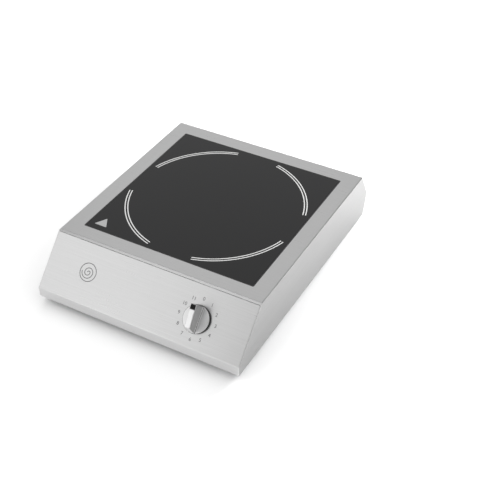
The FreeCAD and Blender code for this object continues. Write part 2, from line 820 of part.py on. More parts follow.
def fan_stator():
    z0 = floor_z + 3
    post = cylinder(4.5, z0, z0 + 17, fan_x, fan_y)
    pole = box(fan_x + 3, fan_x + 12, fan_y - 3, fan_y + 3, z0 + 3, z0 + 13)
    shoe = tube(14.0, 11.0, z0 + 3, z0 + 13, fan_x, fan_y)
    gaps = spun(box(fan_x + 9, fan_x + 15, fan_y - 1, fan_y + 1, z0 + 2, z0 + 14), 4, fan_x, fan_y)
    for gap in gaps:
        gap.rotate(Vec(fan_x, fan_y, 0), Vec(0, 0, 1), 45)
    stator = join([post, shoe] + spun(pole, 4, fan_x, fan_y)).cut(gaps)
    return stator.cut(cylinder(2.0 + running_gap, z0, z0 + 18, fan_x, fan_y))


def fan_blade():
    """One blade, flatter at its tip, lofted from the hub outwards."""
    sections = []
    for radius, pitch_angle, chord in ((20.0, 48.0, 21.0), (38.0, 36.0, 27.0), (58.0, 27.0, 34.0)):
        angle = math.radians(pitch_angle)
        along = Vec(0, math.cos(angle), math.sin(angle)) * (chord / 2)
        thick = Vec(0, -math.sin(angle), math.cos(angle)) * 0.8
        middle = Vec(radius, 0, 0)
        near, far = middle - along, middle + along
        corners = [near - thick, far - thick, far + thick, near + thick]
        sections.append(Part.makePolygon(corners + corners[:1]))
    blade = Part.makeLoft(sections, True, False)
    blade.translate(Vec(fan_x, fan_y, floor_z + 13.5))
    return blade.common(tube(55.5, 20.5, floor_z + 4, floor_z + 23, fan_x, fan_y))


def fan_rotor():
    z0, z1 = floor_z + 4, floor_z + 23
    cup = cylinder(22.0, z0, z1, fan_x, fan_y)
    cup = round_edges(cup, 1.5, lambda e, m: m.z > z1 - 0.01)
    cup = cup.cut(cylinder(19.5, z0 - 1, z1 - 2, fan_x, fan_y))
    shaft = cylinder(2.0, z0 + 0.3, z1 - 1, fan_x, fan_y)
    return join([cup, shaft] + spun(fan_blade(), 7, fan_x, fan_y))


def air_duct():
    """Plastic hood that turns the fan's air to the back, over the heat sink."""
    wall = 1.6
    x0, x1 = fan_x - 62, fan_x + 62
    y0, y1 = fan_y - 62, 8.0
    z0, z1 = floor_z + fan_depth, sink_top + 1.5
    hood = box(x0, x1, y0, y1, z0, z1)
    hood = round_edges(hood, 8.0, lambda e, m: abs(m.z - z1) < 0.01 and m.y < y0 + 0.01)
    space = box(x0 + wall, x1 - wall, y0 + wall, y1 + 1, z0 + wall, z1 - wall)
    space = round_edges(space, 6.4, lambda e, m: abs(m.z - z1 + wall) < 0.01 and m.y < y0 + wall + 0.01)
    tail = box(x0 - 1, x1 + 1, fan_y + 62, y1 + 1, z0 - 1, z0 + wall)
    return hood.cut([space, cylinder(57.0, z0 - 1, z0 + 3, fan_x, fan_y), tail])


# Cable gland

def gland_body():
    collar = hexagon(gland_flats, 0, 5)
    stem = cylinder(9.0, 4, 12)
    thread = cylinder(10.0, -11, 1)
    body = join([collar, stem, thread])
    return on_back(body.cut([cylinder(6.5, -12, 13), cylinder(8.0, 6, 13)]))


def gland_cap():
    nut = hexagon(gland_flats, 5.3, 14)
    dome = Part.makeCone(11.5, gland_tip_radius, gland_reach - 13.5, Vec(0, 0, 13.5))
    cap = join([nut, dome])
    return on_back(cap.cut([cylinder(9.05, 5, 12.2), cylinder(8.0, 12, 15.5), cylinder(6.2, 15, 25)]))


def gland_seal():
    return on_back(tube(7.95, cable_radius, 6.2, 15.4))


def gland_locknut():
    return on_back(hexagon(gland_flats, -sheet - 5, -sheet).cut(cylinder(10.05, -12, 5)))


# Every node and its solids

def nodes():
    made = {
        "housing_shell": housing_shell(),
        "front_panel": front_panel(),
        "base_plate": base_plate(),
        "housing_screws": base_screws() + fan_screws(),
        "foot_bolts": foot_screws() + foot_nuts(),
        "glass_support_frame": glass_support_frame(),
        "glass_ceramic_plate": glass_plate(),
        "glass_seal": glass_seal(),
        "coil_winding": coil_winding(),
        "coil_carrier": coil_carrier(),
        "ferrite_bars": ferrite_bars(),
        "insulation_sheet": insulation_sheet(),
        "coil_shield_plate": coil_shield_plate(),
        "coil_posts": coil_posts(),
        "temperature_sensor": temperature_sensor(),
        "coil_leads": coil_leads(),
        "coil_terminals": coil_terminals(),
        "power_board": board(power_board_box),
        "filter_board": board(filter_board_box),
        "control_board": board(control_board_box),
        "board_standoffs": board_standoffs(),
        "small_screws": board_screws() + coil_post_screws(),
        "board_connectors": board_connectors(),
        "heat_sink": heat_sink(),
        "power_transistors": power_transistors(),
        "bridge_rectifier": bridge_rectifier(),
        "link_capacitor": film_capacitor(0, 38, 42, 24, 32),
        "resonance_capacitors": [film_capacitor(0, 66, 42, 20, 28), film_capacitor(0, 92, 42, 20, 28)],
        "choke_cores": [toroid_core(*line_choke), toroid_core(*filter_choke)],
        "choke_windings": toroid_winding(*line_choke, 16) + toroid_winding(*filter_choke, 14),
        "auxiliary_transformer": auxiliary_transformer(),
        "filter_capacitors": [film_capacitor(145, y, 18, 26, 22) for y in (-59, -28)],
        "fuse_holder": fuse_holder(),
        "fuse": fuse(),
        "terminal_block": terminal_block(),
        "terminal_screws": terminal_screws(),
        "mains_wires": supply_wires() + filter_wires(),
        "earth_stud": earth_stud(),
        "control_chip": control_chip(),
        "buzzer": buzzer(),
        "signal_cables": [control_cable(), sensor_cable()],
        "switch_body": switch_body(),
        "switch_bush": switch_bush(),
        "switch_nut": switch_nut(),
        "switch_shaft": switch_shaft(),
        "knob_clip": knob_clip(),
        "power_knob": power_knob(),
        "knob_pointer": knob_pointer(),
        "fan_frame": fan_frame(),
        "fan_stator": fan_stator(),
        "fan_rotor": fan_rotor(),
        "air_duct": air_duct(),
        "gland_body": gland_body(),
        "gland_cap": gland_cap(),
        "gland_seal": gland_seal(),
        "gland_locknut": gland_locknut(),
    }
    for name, place in foot_places().items():
        made[name] = rubber_foot(place)
    return made


os.makedirs("parts", exist_ok=True)
for name, made in nodes().items():
    shape = Part.makeCompound(made) if isinstance(made, list) else made
    shape.exportStep("parts/" + name + ".step")
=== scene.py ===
import json
import math

import bmesh
import bpy
from bpy.props import FloatProperty, FloatVectorProperty, IntProperty, PointerProperty
from mathutils import Matrix, Vector


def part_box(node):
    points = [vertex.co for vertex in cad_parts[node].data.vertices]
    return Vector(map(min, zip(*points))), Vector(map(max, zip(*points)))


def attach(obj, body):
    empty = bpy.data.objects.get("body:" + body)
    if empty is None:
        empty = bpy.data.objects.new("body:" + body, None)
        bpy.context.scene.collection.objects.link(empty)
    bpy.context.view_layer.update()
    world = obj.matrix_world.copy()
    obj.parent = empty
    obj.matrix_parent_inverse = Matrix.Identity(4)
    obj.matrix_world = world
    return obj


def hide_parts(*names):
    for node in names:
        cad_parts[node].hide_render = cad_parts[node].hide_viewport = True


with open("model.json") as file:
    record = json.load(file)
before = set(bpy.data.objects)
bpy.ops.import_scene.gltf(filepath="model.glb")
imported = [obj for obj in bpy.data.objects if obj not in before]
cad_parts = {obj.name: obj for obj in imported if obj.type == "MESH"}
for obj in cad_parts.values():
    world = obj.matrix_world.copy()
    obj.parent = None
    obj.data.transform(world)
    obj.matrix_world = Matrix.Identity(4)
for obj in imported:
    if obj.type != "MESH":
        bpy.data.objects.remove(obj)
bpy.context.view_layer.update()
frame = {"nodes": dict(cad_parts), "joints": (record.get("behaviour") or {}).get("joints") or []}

bl_info = {
    "name": "Countertop Induction Hob",
    "version": (1, 0, 0),
    "blender": (4, 5, 0),
    "location": "3D View > Sidebar > Hob",
    "description": "Finishes, prints, winding and stage for a countertop induction hob",
    "category": "Object",
}

# Places read from the frame
NODES = frame["nodes"]
JOINTS = {joint["name"]: joint for joint in frame["joints"]}
GLASS_LOW, GLASS_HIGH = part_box("glass_ceramic_plate")
FRONT_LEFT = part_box("front_panel")[0].x
ZONE = Vector(((GLASS_LOW.x + GLASS_HIGH.x) / 2, (GLASS_LOW.y + GLASS_HIGH.y) / 2, GLASS_HIGH.z))
DIAL_PLACE = Vector(JOINTS["power_knob_turn"]["pos_m"])
DIAL_OUT = -Vector(JOINTS["power_knob_turn"]["axis"]).normalized()
DIAL_RIGHT = Vector((1.0, 0.0, 0.0))
DIAL_UP = DIAL_OUT.cross(DIAL_RIGHT)
FULL_TURN = 2 * math.pi
CAP_LINE = 0.0034             # height above the panel where the knob's silver starts; below it the side wall is painted dark as painted shade
CAP_RADIUS = 0.0201           # the silver's edge; outside it the knob's rim is painted dark as painted shade
GROOVE_PLACE = 0.00575        # from the knob's middle to the groove along the grip's foot
GROOVE_REACH = 0.0004
GROOVE_HIGHLIGHT_REACH = 0.0012          # how far the painted highlight beside the groove reaches
GROOVE_FLOOR = 0.0002         # below the skirt, where the groove's painted shade starts
SKIRT_PEAK = 0.00628          # height of the skirt's cone at its middle, and its fall outwards
SKIRT_FALL = 0.111


def slope_matrix(place):
    """Turns a flat drawing in XY to lie on the sloped front, its origin at the place given."""
    turn = Matrix((DIAL_RIGHT, DIAL_UP, DIAL_OUT)).transposed().to_4x4()
    return Matrix.Translation(place) @ turn


# Sizes and colours that a user would change

class HobSizes(bpy.types.PropertyGroup):
    ring_radius: FloatProperty(
        name="Zone radius", description="Outer line of the printed cooking zone",
        default=0.1391, unit="LENGTH")
    ring_gap: FloatProperty(
        name="Line spacing", description="From the outer zone line to the inner one",
        default=0.0042, unit="LENGTH")
    ring_line: FloatProperty(
        name="Line width", description="Width of one printed zone line",
        default=0.0016, unit="LENGTH")
    arc_sweep: FloatProperty(
        name="Arc sweep", description="Angle that each of the four zone arcs covers",
        default=math.radians(59.5), subtype="ANGLE")
    sign_side: FloatProperty(
        name="Sign side", description="Side of the printed triangle at the glass corner",
        default=0.021, unit="LENGTH")
    ink: FloatProperty(
        name="Ink height", description="Thickness of printed films",
        default=0.00005, unit="LENGTH")
    number_radius: FloatProperty(
        name="Number circle", description="Radius of the circle of dial numbers",
        default=0.0295, unit="LENGTH")
    number_height: FloatProperty(
        name="Number height", description="Height of the dial numbers",
        default=0.0052, unit="LENGTH")
    emblem_radius: FloatProperty(
        name="Emblem radius", description="Radius of the round coil emblem",
        default=0.0135, unit="LENGTH")
    strand_twist: FloatProperty(
        name="Strand lay", description="Length of one twist of the coil's strands",
        default=0.011, unit="LENGTH")
    coil_turns: IntProperty(
        name="Coil turns", description="Turns of litz wire in the induction coil",
        default=20, min=1)


class HobColours(bpy.types.PropertyGroup):
    steel: FloatVectorProperty(
        name="Stainless steel", description="Brushed housing", subtype="COLOR",
        default=(0.62, 0.62, 0.62))
    glass: FloatVectorProperty(
        name="Glass", description="Glass-ceramic plate", subtype="COLOR",
        default=(0.0035, 0.0035, 0.0038))
    glass_print: FloatVectorProperty(
        name="Glass print", description="Lines and sign on the glass", subtype="COLOR",
        default=(0.54, 0.54, 0.535))
    sign_print: FloatVectorProperty(
        name="Sign print", description="Triangle at the glass corner", subtype="COLOR",
        default=(0.30, 0.30, 0.30))
    panel_print: FloatVectorProperty(
        name="Panel print", description="Numbers and emblem on the steel", subtype="COLOR",
        default=(0.07, 0.07, 0.072))
    knob: FloatVectorProperty(
        name="Knob", description="Satin silver knob", subtype="COLOR",
        default=(0.66, 0.66, 0.66))
    # Also the dark colour of the knob's painted shade on its rim, skirt wall and grooves.
    pointer: FloatVectorProperty(
        name="Pointer", description="Insert at the end of the grip", subtype="COLOR",
        default=(0.006, 0.006, 0.006))
    floor: FloatVectorProperty(
        name="Floor", description="Plain studio floor", subtype="COLOR",
        default=(0.86, 0.86, 0.86))


# Shader node groups

def new_group(name, inputs, outputs):
    group = bpy.data.node_groups.new(name, "ShaderNodeTree")
    for label, value in inputs:
        socket = group.interface.new_socket(label, in_out="INPUT", socket_type="NodeSocketFloat")
        socket.default_value = value
    for label, kind in outputs:
        group.interface.new_socket(label, in_out="OUTPUT", socket_type="NodeSocket" + kind)
    return group, group.nodes.new("NodeGroupInput"), group.nodes.new("NodeGroupOutput")


def add(tree, kind, operation=None, **values):
    """A node with its operation and unlinked inputs set; a node's output given as a value is linked."""
    node = tree.nodes.new("ShaderNode" + kind)
    if operation:
        node.operation = operation
    for key, value in values.items():
        label = int(key[1:]) if key[0] == "i" and key[1:].isdigit() else key.replace("_", " ")
        socket = node.inputs[label]
        if isinstance(value, bpy.types.NodeSocket):
            tree.links.new(value, socket)
        else:
            socket.default_value = value
    return node


def maths(tree, operation, first, second=0.0):
    return add(tree, "Math", operation, i0=first, i1=second).outputs[0]


def spread(tree, value, low, high, to_low=0.0, to_high=1.0):
    node = add(tree, "MapRange", Value=value)
    node.inputs["From Min"].default_value = low
    node.inputs["From Max"].default_value = high
    node.inputs["To Min"].default_value = to_low
    node.inputs["To Max"].default_value = to_high
    return node.outputs["Result"]


def brushed_lines_group():
    """Streaks along X on faces that look up, forward or back, and along Y on the side walls.
    Side is 1 on those walls and 0 elsewhere."""
    group, inputs, outputs = new_group(
        "Brushed Lines", [("Along", 9.0), ("Across", 900.0)],
        [("Streak", "Float"), ("Fine", "Float"), ("Side", "Float")])
    coords = group.nodes.new("ShaderNodeTexCoord")
    facing = add(group, "SeparateXYZ", Vector=coords.outputs["Normal"]).outputs["X"]
    on_side = maths(group, "GREATER_THAN", maths(group, "ABSOLUTE", facing), 0.7)
    along, across = inputs.outputs["Along"], inputs.outputs["Across"]
    scale_top = add(group, "CombineXYZ", X=along, Y=across, Z=across).outputs[0]
    scale_side = add(group, "CombineXYZ", X=across, Y=along, Z=across).outputs[0]
    scale = add(group, "Mix")
    scale.data_type = "VECTOR"
    group.links.new(on_side, scale.inputs["Factor"])
    group.links.new(scale_top, scale.inputs[4])
    group.links.new(scale_side, scale.inputs[5])
    place = coords.outputs["Object"]
    stretched = add(group, "VectorMath", "MULTIPLY", i0=place, i1=scale.outputs[1]).outputs[0]
    streak = add(group, "TexNoise", Vector=stretched, Scale=1.0, Detail=3.0, Roughness=0.6).outputs["Fac"]
    finer = add(group, "VectorMath", "SCALE", i0=stretched)
    finer.inputs["Scale"].default_value = 3.1
    fine = add(group, "TexNoise", Vector=finer.outputs[0], Scale=1.0, Detail=2.0).outputs["Fac"]
    group.links.new(spread(group, streak, 0.3, 0.7), outputs.inputs["Streak"])
    group.links.new(fine, outputs.inputs["Fine"])
    group.links.new(on_side, outputs.inputs["Side"])
    return group


def smudge_group():
    """Broad soft patches, as handling and wiping leave them."""
    group, inputs, outputs = new_group("Smudges", [("Size", 14.0), ("Sharpness", 0.25)], [("Mask", "Float")])
    coords = group.nodes.new("ShaderNodeTexCoord")
    broad = add(group, "TexNoise", Vector=coords.outputs["Object"], Detail=4.0, Roughness=0.55)
    group.links.new(inputs.outputs["Size"], broad.inputs["Scale"])
    low = maths(group, "SUBTRACT", 0.5, inputs.outputs["Sharpness"])
    high = maths(group, "ADD", 0.5, inputs.outputs["Sharpness"])
    mask = add(group, "MapRange", Value=broad.outputs["Fac"])
    mask.interpolation_type = "SMOOTHSTEP"
    group.links.new(low, mask.inputs["From Min"])
    group.links.new(high, mask.inputs["From Max"])
    group.links.new(mask.outputs["Result"], outputs.inputs["Mask"])
    return group


def edge_wear_group():
    """A mask along sharp edges, broken up by noise: edge wear, and a painted highlight where it lightens a
    colour.
    """
    group, inputs, outputs = new_group("Edge Wear And Painted Highlight", [("Width", 0.0006)], [("Mask", "Float")])
    bevel = group.nodes.new("ShaderNodeBevel")
    bevel.samples = 4
    group.links.new(inputs.outputs["Width"], bevel.inputs["Radius"])
    geometry = group.nodes.new("ShaderNodeNewGeometry")
    dot = add(group, "VectorMath", "DOT_PRODUCT", i0=bevel.outputs[0], i1=geometry.outputs["Normal"])
    edge = spread(group, dot.outputs["Value"], 0.99, 0.80)
    coords = group.nodes.new("ShaderNodeTexCoord")
    broken = add(group, "TexNoise", Vector=coords.outputs["Object"], Scale=160.0, Detail=3.0).outputs["Fac"]
    mask = maths(group, "MULTIPLY", edge, spread(group, broken, 0.3, 0.6))
    group.links.new(mask, outputs.inputs["Mask"])
    return group


def moulded_grain_group():
    """Fine spark-eroded texture of moulded plastic and rubber."""
    group, inputs, outputs = new_group(
        "Moulded Grain", [("Scale", 2500.0)], [("Height", "Float"), ("Tint", "Float")])
    coords = group.nodes.new("ShaderNodeTexCoord")
    grain = add(group, "TexNoise", Vector=coords.outputs["Object"], Detail=2.0)
    group.links.new(inputs.outputs["Scale"], grain.inputs["Scale"])
    flow = add(group, "TexNoise", Vector=coords.outputs["Object"], Scale=30.0, Detail=3.0)
    group.links.new(grain.outputs["Fac"], outputs.inputs["Height"])
    group.links.new(spread(group, flow.outputs["Fac"], 0.3, 0.7), outputs.inputs["Tint"])
    return group


GROUPS = {}


def place_group(tree, name, **values):
    node = tree.nodes.new("ShaderNodeGroup")
    node.node_tree = GROUPS[name]
    for key, value in values.items():
        node.inputs[key].default_value = value
    return node.outputs


# Materials

def new_material(name):
    material = bpy.data.materials.new(name)
    material.use_nodes = True
    tree = material.node_tree
    return material, tree, tree.nodes["Principled BSDF"]


def mixed(tree, low, high, factor, clamp=True):
    """A colour between two others by a mask. Either may be a node's output."""
    mix = add(tree, "Mix")
    mix.data_type = "RGBA"
    mix.clamp_factor = clamp
    tree.links.new(factor, mix.inputs["Factor"])
    for socket, colour in ((mix.inputs[6], low), (mix.inputs[7], high)):
        if isinstance(colour, bpy.types.NodeSocket):
            tree.links.new(colour, socket)
        else:
            socket.default_value = (*colour, 1.0)
    return mix.outputs[2]


def shade(tree, surface, low, high, factor):
    """Base colour between two colours by a mask."""
    tree.links.new(mixed(tree, low, high, factor), surface.inputs["Base Color"])


def bump(tree, surface, height, strength, distance):
    node = add(tree, "Bump", Height=height)
    node.inputs["Strength"].default_value = strength
    node.inputs["Distance"].default_value = distance
    tree.links.new(node.outputs[0], surface.inputs["Normal"])


def times(colour, amount):
    return tuple(channel * amount for channel in colour)


def brushed_metal(name, colour, roughness, along, across, depth=0.00003):
    material, tree, surface = new_material(name)
    lines = place_group(tree, "Brushed Lines", Along=along, Across=across)
    smudge = place_group(tree, "Smudges", Size=11.0, Sharpness=0.2)["Mask"]
    edge_wear_and_highlight = place_group(tree, "Edge Wear And Painted Highlight", Width=0.0008)["Mask"]
    streaks = maths(tree, "MULTIPLY", lines["Streak"], 0.75)
    tone = maths(tree, "ADD", streaks, maths(tree, "MULTIPLY", smudge, 0.25))
    # The side walls are painted darker than the top and front faces: painted shade.
    tone = maths(tree, "SUBTRACT", tone, maths(tree, "MULTIPLY", lines["Side"], 2.5))
    brushed = mixed(tree, times(colour, 0.92), times(colour, 1.05), tone, clamp=False)
    # Sharp edges are lightened towards 1.5 times the steel colour: a painted highlight along the edges.
    shade(tree, surface, brushed, times(colour, 1.5), maths(tree, "MULTIPLY", edge_wear_and_highlight, 0.8))
    surface.inputs["Metallic"].default_value = 1.0
    rough = spread(tree, lines["Streak"], 0.0, 1.0, roughness - 0.04, roughness + 0.05)
    rough = maths(tree, "ADD", rough, maths(tree, "MULTIPLY", smudge, 0.03))
    rough = maths(tree, "SUBTRACT", rough, maths(tree, "MULTIPLY", edge_wear_and_highlight, 0.10))
    tree.links.new(rough, surface.inputs["Roughness"])
    bump(tree, surface, lines["Fine"], 0.25, depth)
    return material


def zinc_sheet(name, colour):
    """Zinc spangle: flat crystals, each a little lighter or darker."""
    material, tree, surface = new_material(name)
    coords = tree.nodes.new("ShaderNodeTexCoord")
    crystal = add(tree, "TexVoronoi", Vector=coords.outputs["Object"], Scale=220.0)
    tone = add(tree, "SeparateColor", Color=crystal.outputs["Color"]).outputs[0]
    shade(tree, surface, times(colour, 0.86), times(colour, 1.08), tone)
    surface.inputs["Metallic"].default_value = 1.0
    tree.links.new(spread(tree, tone, 0.0, 1.0, 0.34, 0.48), surface.inputs["Roughness"])
    bump(tree, surface, tone, 0.08, 0.0001)
    return material


def turned_metal(name, colour, roughness, scale=1400.0):
    """Fasteners and turned parts: fine machining marks and slight tarnish."""
    material, tree, surface = new_material(name)
    coords = tree.nodes.new("ShaderNodeTexCoord")
    marks = add(tree, "TexNoise", Vector=coords.outputs["Object"], Scale=scale, Detail=2.0).outputs["Fac"]
    tarnish = place_group(tree, "Smudges", Size=60.0, Sharpness=0.25)["Mask"]
    shade(tree, surface, times(colour, 0.82), colour, tarnish)
    surface.inputs["Metallic"].default_value = 1.0
    rough = spread(tree, tarnish, 0.0, 1.0, roughness + 0.10, roughness)
    tree.links.new(rough, surface.inputs["Roughness"])
    bump(tree, surface, marks, 0.12, 0.00003)
    return material


def plastic(name, colour, roughness, grain_scale=2500.0, grain=0.25, contrast=0.12):
    material, tree, surface = new_material(name)
    grained = place_group(tree, "Moulded Grain", Scale=grain_scale)
    edge_wear_and_highlight = place_group(tree, "Edge Wear And Painted Highlight", Width=0.0004)["Mask"]
    # Sharp edges are lightened a little: edge wear, partly a painted highlight.
    tone = maths(tree, "ADD", grained["Tint"], maths(tree, "MULTIPLY", edge_wear_and_highlight, 0.8))
    low_colour, high_colour = times(colour, 1.0 - contrast), times(colour, 1.0 + contrast)
    shade(tree, surface, low_colour, high_colour, tone)
    rough = spread(tree, grained["Tint"], 0.0, 1.0, roughness - 0.05, roughness + 0.06)
    rough = maths(tree, "SUBTRACT", rough, maths(tree, "MULTIPLY", edge_wear_and_highlight, 0.12))
    tree.links.new(rough, surface.inputs["Roughness"])
    bump(tree, surface, grained["Height"], grain, 0.00008)
    return material


def glass_ceramic(name, colour):
    """Polished black plate with faint wiping marks and a few specks."""
    material, tree, surface = new_material(name)
    smudge = place_group(tree, "Smudges", Size=16.0, Sharpness=0.18)["Mask"]
    coords = tree.nodes.new("ShaderNodeTexCoord")
    specks = add(tree, "TexVoronoi", Vector=coords.outputs["Object"], Scale=700.0).outputs["Distance"]
    speck = spread(tree, specks, 0.10, 0.04)
    shade(tree, surface, colour, times(colour, 2.2), speck)
    wiped = maths(tree, "MULTIPLY", smudge, 0.05)
    tree.links.new(maths(tree, "ADD", wiped, 0.045), surface.inputs["Roughness"])
    surface.inputs["IOR"].default_value = 1.53
    surface.inputs["Specular IOR Level"].default_value = 0.34
    return material


def ink(name, colour, roughness):
    """Screen print: a thin film with slightly uneven cover."""
    material, tree, surface = new_material(name)
    coords = tree.nodes.new("ShaderNodeTexCoord")
    cover = add(tree, "TexNoise", Vector=coords.outputs["Object"], Scale=900.0, Detail=3.0).outputs["Fac"]
    shade(tree, surface, times(colour, 0.88), times(colour, 1.05), cover)
    rough = spread(tree, cover, 0.3, 0.7, roughness - 0.05, roughness + 0.05)
    tree.links.new(rough, surface.inputs["Roughness"])
    return material


def satin_coating(name, colour, dark):
    """Satin silver knob. Its rim, the skirt's side wall and the grooves beside the grip are painted dark as
    painted shade; the groove edges and sharp edges are lightened as a painted highlight.
    """
    material, tree, surface = new_material(name)
    coords = tree.nodes.new("ShaderNodeTexCoord")
    from_dial = add(tree, "VectorMath", "SUBTRACT", i0=coords.outputs["Object"], i1=DIAL_PLACE).outputs[0]
    height = add(tree, "VectorMath", "DOT_PRODUCT", i0=from_dial, i1=DIAL_OUT).outputs["Value"]
    aside = add(tree, "VectorMath", "DOT_PRODUCT", i0=from_dial, i1=DIAL_RIGHT).outputs["Value"]
    along = add(tree, "VectorMath", "DOT_PRODUCT", i0=from_dial, i1=DIAL_UP).outputs["Value"]
    squares = maths(tree, "ADD", maths(tree, "POWER", aside, 2.0), maths(tree, "POWER", along, 2.0))
    reach = maths(tree, "SQRT", squares)
    above = maths(tree, "GREATER_THAN", height, CAP_LINE)
    inside = maths(tree, "LESS_THAN", reach, CAP_RADIUS)
    from_groove = maths(tree, "SUBTRACT", maths(tree, "ABSOLUTE", aside), GROOVE_PLACE)
    to_groove = maths(tree, "ABSOLUTE", from_groove)
    groove_highlight_band = maths(tree, "LESS_THAN", to_groove, GROOVE_HIGHLIGHT_REACH)
    in_groove = maths(tree, "LESS_THAN", to_groove, GROOVE_REACH)
    cone = maths(tree, "SUBTRACT", SKIRT_PEAK - GROOVE_FLOOR, maths(tree, "MULTIPLY", reach, SKIRT_FALL))
    in_groove = maths(tree, "MULTIPLY", in_groove, maths(tree, "LESS_THAN", height, cone))
    clear = maths(tree, "SUBTRACT", 1.0, in_groove)
    # cap is 1 where the silver shows and 0 on the rim, the skirt wall and the grooves, which take the dark
    # colour: painted shade.
    cap = maths(tree, "MULTIPLY", above, maths(tree, "MULTIPLY", inside, clear))
    flake = add(tree, "TexVoronoi", Vector=coords.outputs["Object"], Scale=5200.0)
    tone = add(tree, "SeparateColor", Color=flake.outputs["Color"]).outputs[0]
    edge_wear_and_highlight = place_group(tree, "Edge Wear And Painted Highlight", Width=0.0010)["Mask"]
    flecked = mixed(tree, times(colour, 0.94), times(colour, 1.04), tone)
    low_down = maths(tree, "LESS_THAN", height, SKIRT_PEAK + 0.001)
    # Lines beside the grooves and along sharp edges are lightened towards white: painted highlight.
    painted_groove_highlight = maths(tree, "MULTIPLY", groove_highlight_band, low_down)
    bright = maths(tree, "MAXIMUM", painted_groove_highlight, maths(tree, "MULTIPLY", edge_wear_and_highlight, 0.35))
    shade(tree, surface, dark, mixed(tree, flecked, (1.0, 1.0, 1.0), bright), cap)
    tree.links.new(maths(tree, "MULTIPLY", cap, 0.9), surface.inputs["Metallic"])
    rough = spread(tree, tone, 0.0, 1.0, 0.28, 0.36)
    rough = maths(tree, "SUBTRACT", rough, maths(tree, "MULTIPLY", edge_wear_and_highlight, 0.08))
    tree.links.new(rough, surface.inputs["Roughness"])
    return material


def ferrite(name, colour):
    material, tree, surface = new_material(name)
    coords = tree.nodes.new("ShaderNodeTexCoord")
    grit = add(tree, "TexNoise", Vector=coords.outputs["Object"], Scale=1800.0, Detail=4.0).outputs["Fac"]
    shade(tree, surface, times(colour, 0.7), times(colour, 1.4), grit)
    tree.links.new(spread(tree, grit, 0.3, 0.7, 0.42, 0.62), surface.inputs["Roughness"])
    bump(tree, surface, grit, 0.3, 0.00008)
    return material


def mica(name, colour):
    """Pressed flakes, each turned its own way, with a pearly sheen."""
    material, tree, surface = new_material(name)
    coords = tree.nodes.new("ShaderNodeTexCoord")
    flakes = add(tree, "TexVoronoi", Vector=coords.outputs["Object"], Scale=380.0)
    tone = add(tree, "SeparateColor", Color=flakes.outputs["Color"]).outputs[0]
    shade(tree, surface, times(colour, 0.8), times(colour, 1.1), tone)
    tree.links.new(spread(tree, tone, 0.0, 1.0, 0.30, 0.55), surface.inputs["Roughness"])
    bump(tree, surface, flakes.outputs["Distance"], 0.15, 0.00008)
    return material


def circuit_board(name):
    """Green solder mask over copper tracks, with tinned pads in a loose grid."""
    material, tree, surface = new_material(name)
    coords = tree.nodes.new("ShaderNodeTexCoord")
    cells = add(tree, "TexVoronoi", Vector=coords.outputs["Object"], Scale=140.0, Randomness=0.55)
    cells.distance = "CHEBYCHEV"
    bands = maths(tree, "FRACT", maths(tree, "MULTIPLY", cells.outputs["Distance"], 3.0))
    track = spread(tree, bands, 0.45, 0.55)
    mask = mixed(tree, (0.008, 0.10, 0.030), (0.022, 0.19, 0.062), track)
    pads = add(tree, "TexVoronoi", Vector=coords.outputs["Object"], Scale=230.0, Randomness=0.25)
    pad = spread(tree, pads.outputs["Distance"], 0.17, 0.14)
    shade(tree, surface, mask, (0.62, 0.62, 0.60), pad)
    tree.links.new(pad, surface.inputs["Metallic"])
    tree.links.new(spread(tree, track, 0.0, 1.0, 0.30, 0.38), surface.inputs["Roughness"])
    bump(tree, surface, maths(tree, "ADD", track, pad), 0.4, 0.00006)
    return material


def enamelled_strand(name, colour):
    """Twisted enamelled strands: stripes that run at a slant round the bundle, by its own UV map."""
    material, tree, surface = new_material(name)
    uv = tree.nodes.new("ShaderNodeUVMap")
    uv.uv_map = "strand"
    split = add(tree, "SeparateXYZ", Vector=uv.outputs["UV"])
    strands = maths(tree, "MULTIPLY", split.outputs["X"], 8.0)
    slant = maths(tree, "ADD", strands, split.outputs["Y"])
    wave = maths(tree, "SINE", maths(tree, "MULTIPLY", slant, FULL_TURN))
    height = spread(tree, wave, -1.0, 1.0)
    # Darker where the bump is low, in the grooves between strands: painted shade.
    shade(tree, surface, times(colour, 0.45), colour, height)
    surface.inputs["Metallic"].default_value = 1.0
    tree.links.new(spread(tree, height, 0.0, 1.0, 0.42, 0.26), surface.inputs["Roughness"])
    bump(tree, surface, height, 0.6, 0.0002)
    return material


def enamelled_wire(name, colour):
    material, tree, surface = new_material(name)
    smudge = place_group(tree, "Smudges", Size=90.0, Sharpness=0.3)["Mask"]
    coords = tree.nodes.new("ShaderNodeTexCoord")
    turns = add(tree, "TexNoise", Vector=coords.outputs["Object"], Scale=1200.0, Detail=1.0).outputs["Fac"]
    shade(tree, surface, times(colour, 0.6), times(colour, 1.1), smudge)
    surface.inputs["Metallic"].default_value = 1.0
    tree.links.new(spread(tree, turns, 0.3, 0.7, 0.22, 0.38), surface.inputs["Roughness"])
    bump(tree, surface, turns, 0.2, 0.0001)
    return material


def fuse_tube(name):
    """Clear tube with a metal cap at each end, by position along X."""
    material, tree, surface = new_material(name)
    low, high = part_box("fuse")
    coords = tree.nodes.new("ShaderNodeTexCoord")
    along = add(tree, "SeparateXYZ", Vector=coords.outputs["Object"]).outputs["X"]
    from_middle = maths(tree, "ABSOLUTE", maths(tree, "SUBTRACT", along, (low.x + high.x) / 2))
    cap = maths(tree, "GREATER_THAN", from_middle, (high.x - low.x) / 2 - 0.0055)
    shade(tree, surface, (0.75, 0.78, 0.78), (0.68, 0.67, 0.62), cap)
    tree.links.new(cap, surface.inputs["Metallic"])
    tree.links.new(spread(tree, cap, 0.0, 1.0, 0.05, 0.28), surface.inputs["Roughness"])
    return material


